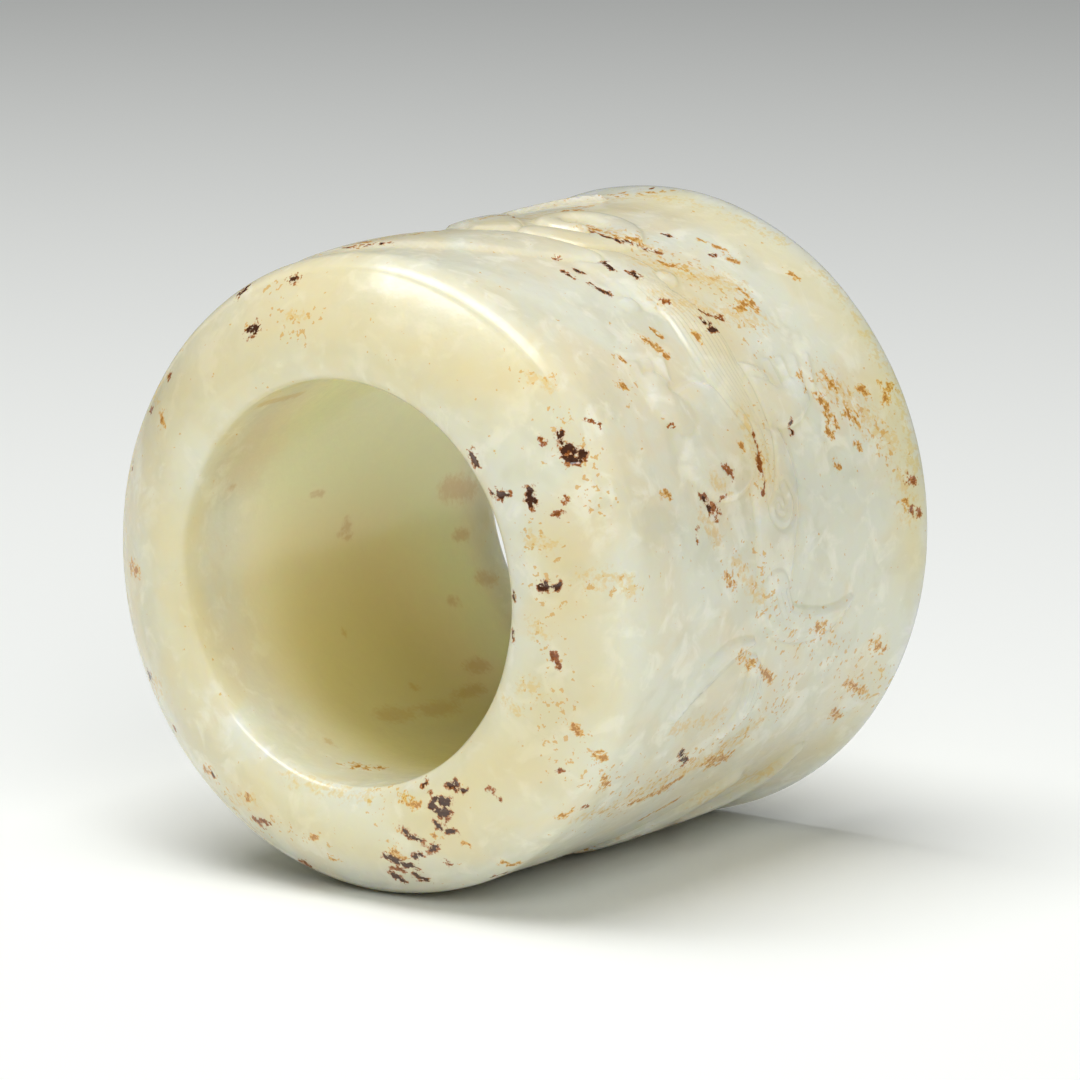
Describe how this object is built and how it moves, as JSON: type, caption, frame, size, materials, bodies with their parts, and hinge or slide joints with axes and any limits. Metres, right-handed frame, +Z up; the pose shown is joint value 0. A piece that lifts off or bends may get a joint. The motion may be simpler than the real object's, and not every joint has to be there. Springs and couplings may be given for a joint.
{
  "type": "carved jade archer's thumb ring",
  "caption": "Short thick jade tube with a bevelled front end, a straight thumb bore and low relief carving round its side, lying on its side.",
  "frame": {"origin": "on the floor under the middle of the ring, at the bottom centre of its box", "axes": "+Y along the bore from the bevelled front end to the plain rear end, +Z up, +X towards the carved side that the picture shows"},
  "size_m": [0.0314, 0.0264, 0.0311],
  "materials": {
    "jade": "polished pale celadon jade with russet and black skin specks"
  },
  "bodies": {
    "root": {"ring": "jade"}
  },
  "joints": []
}
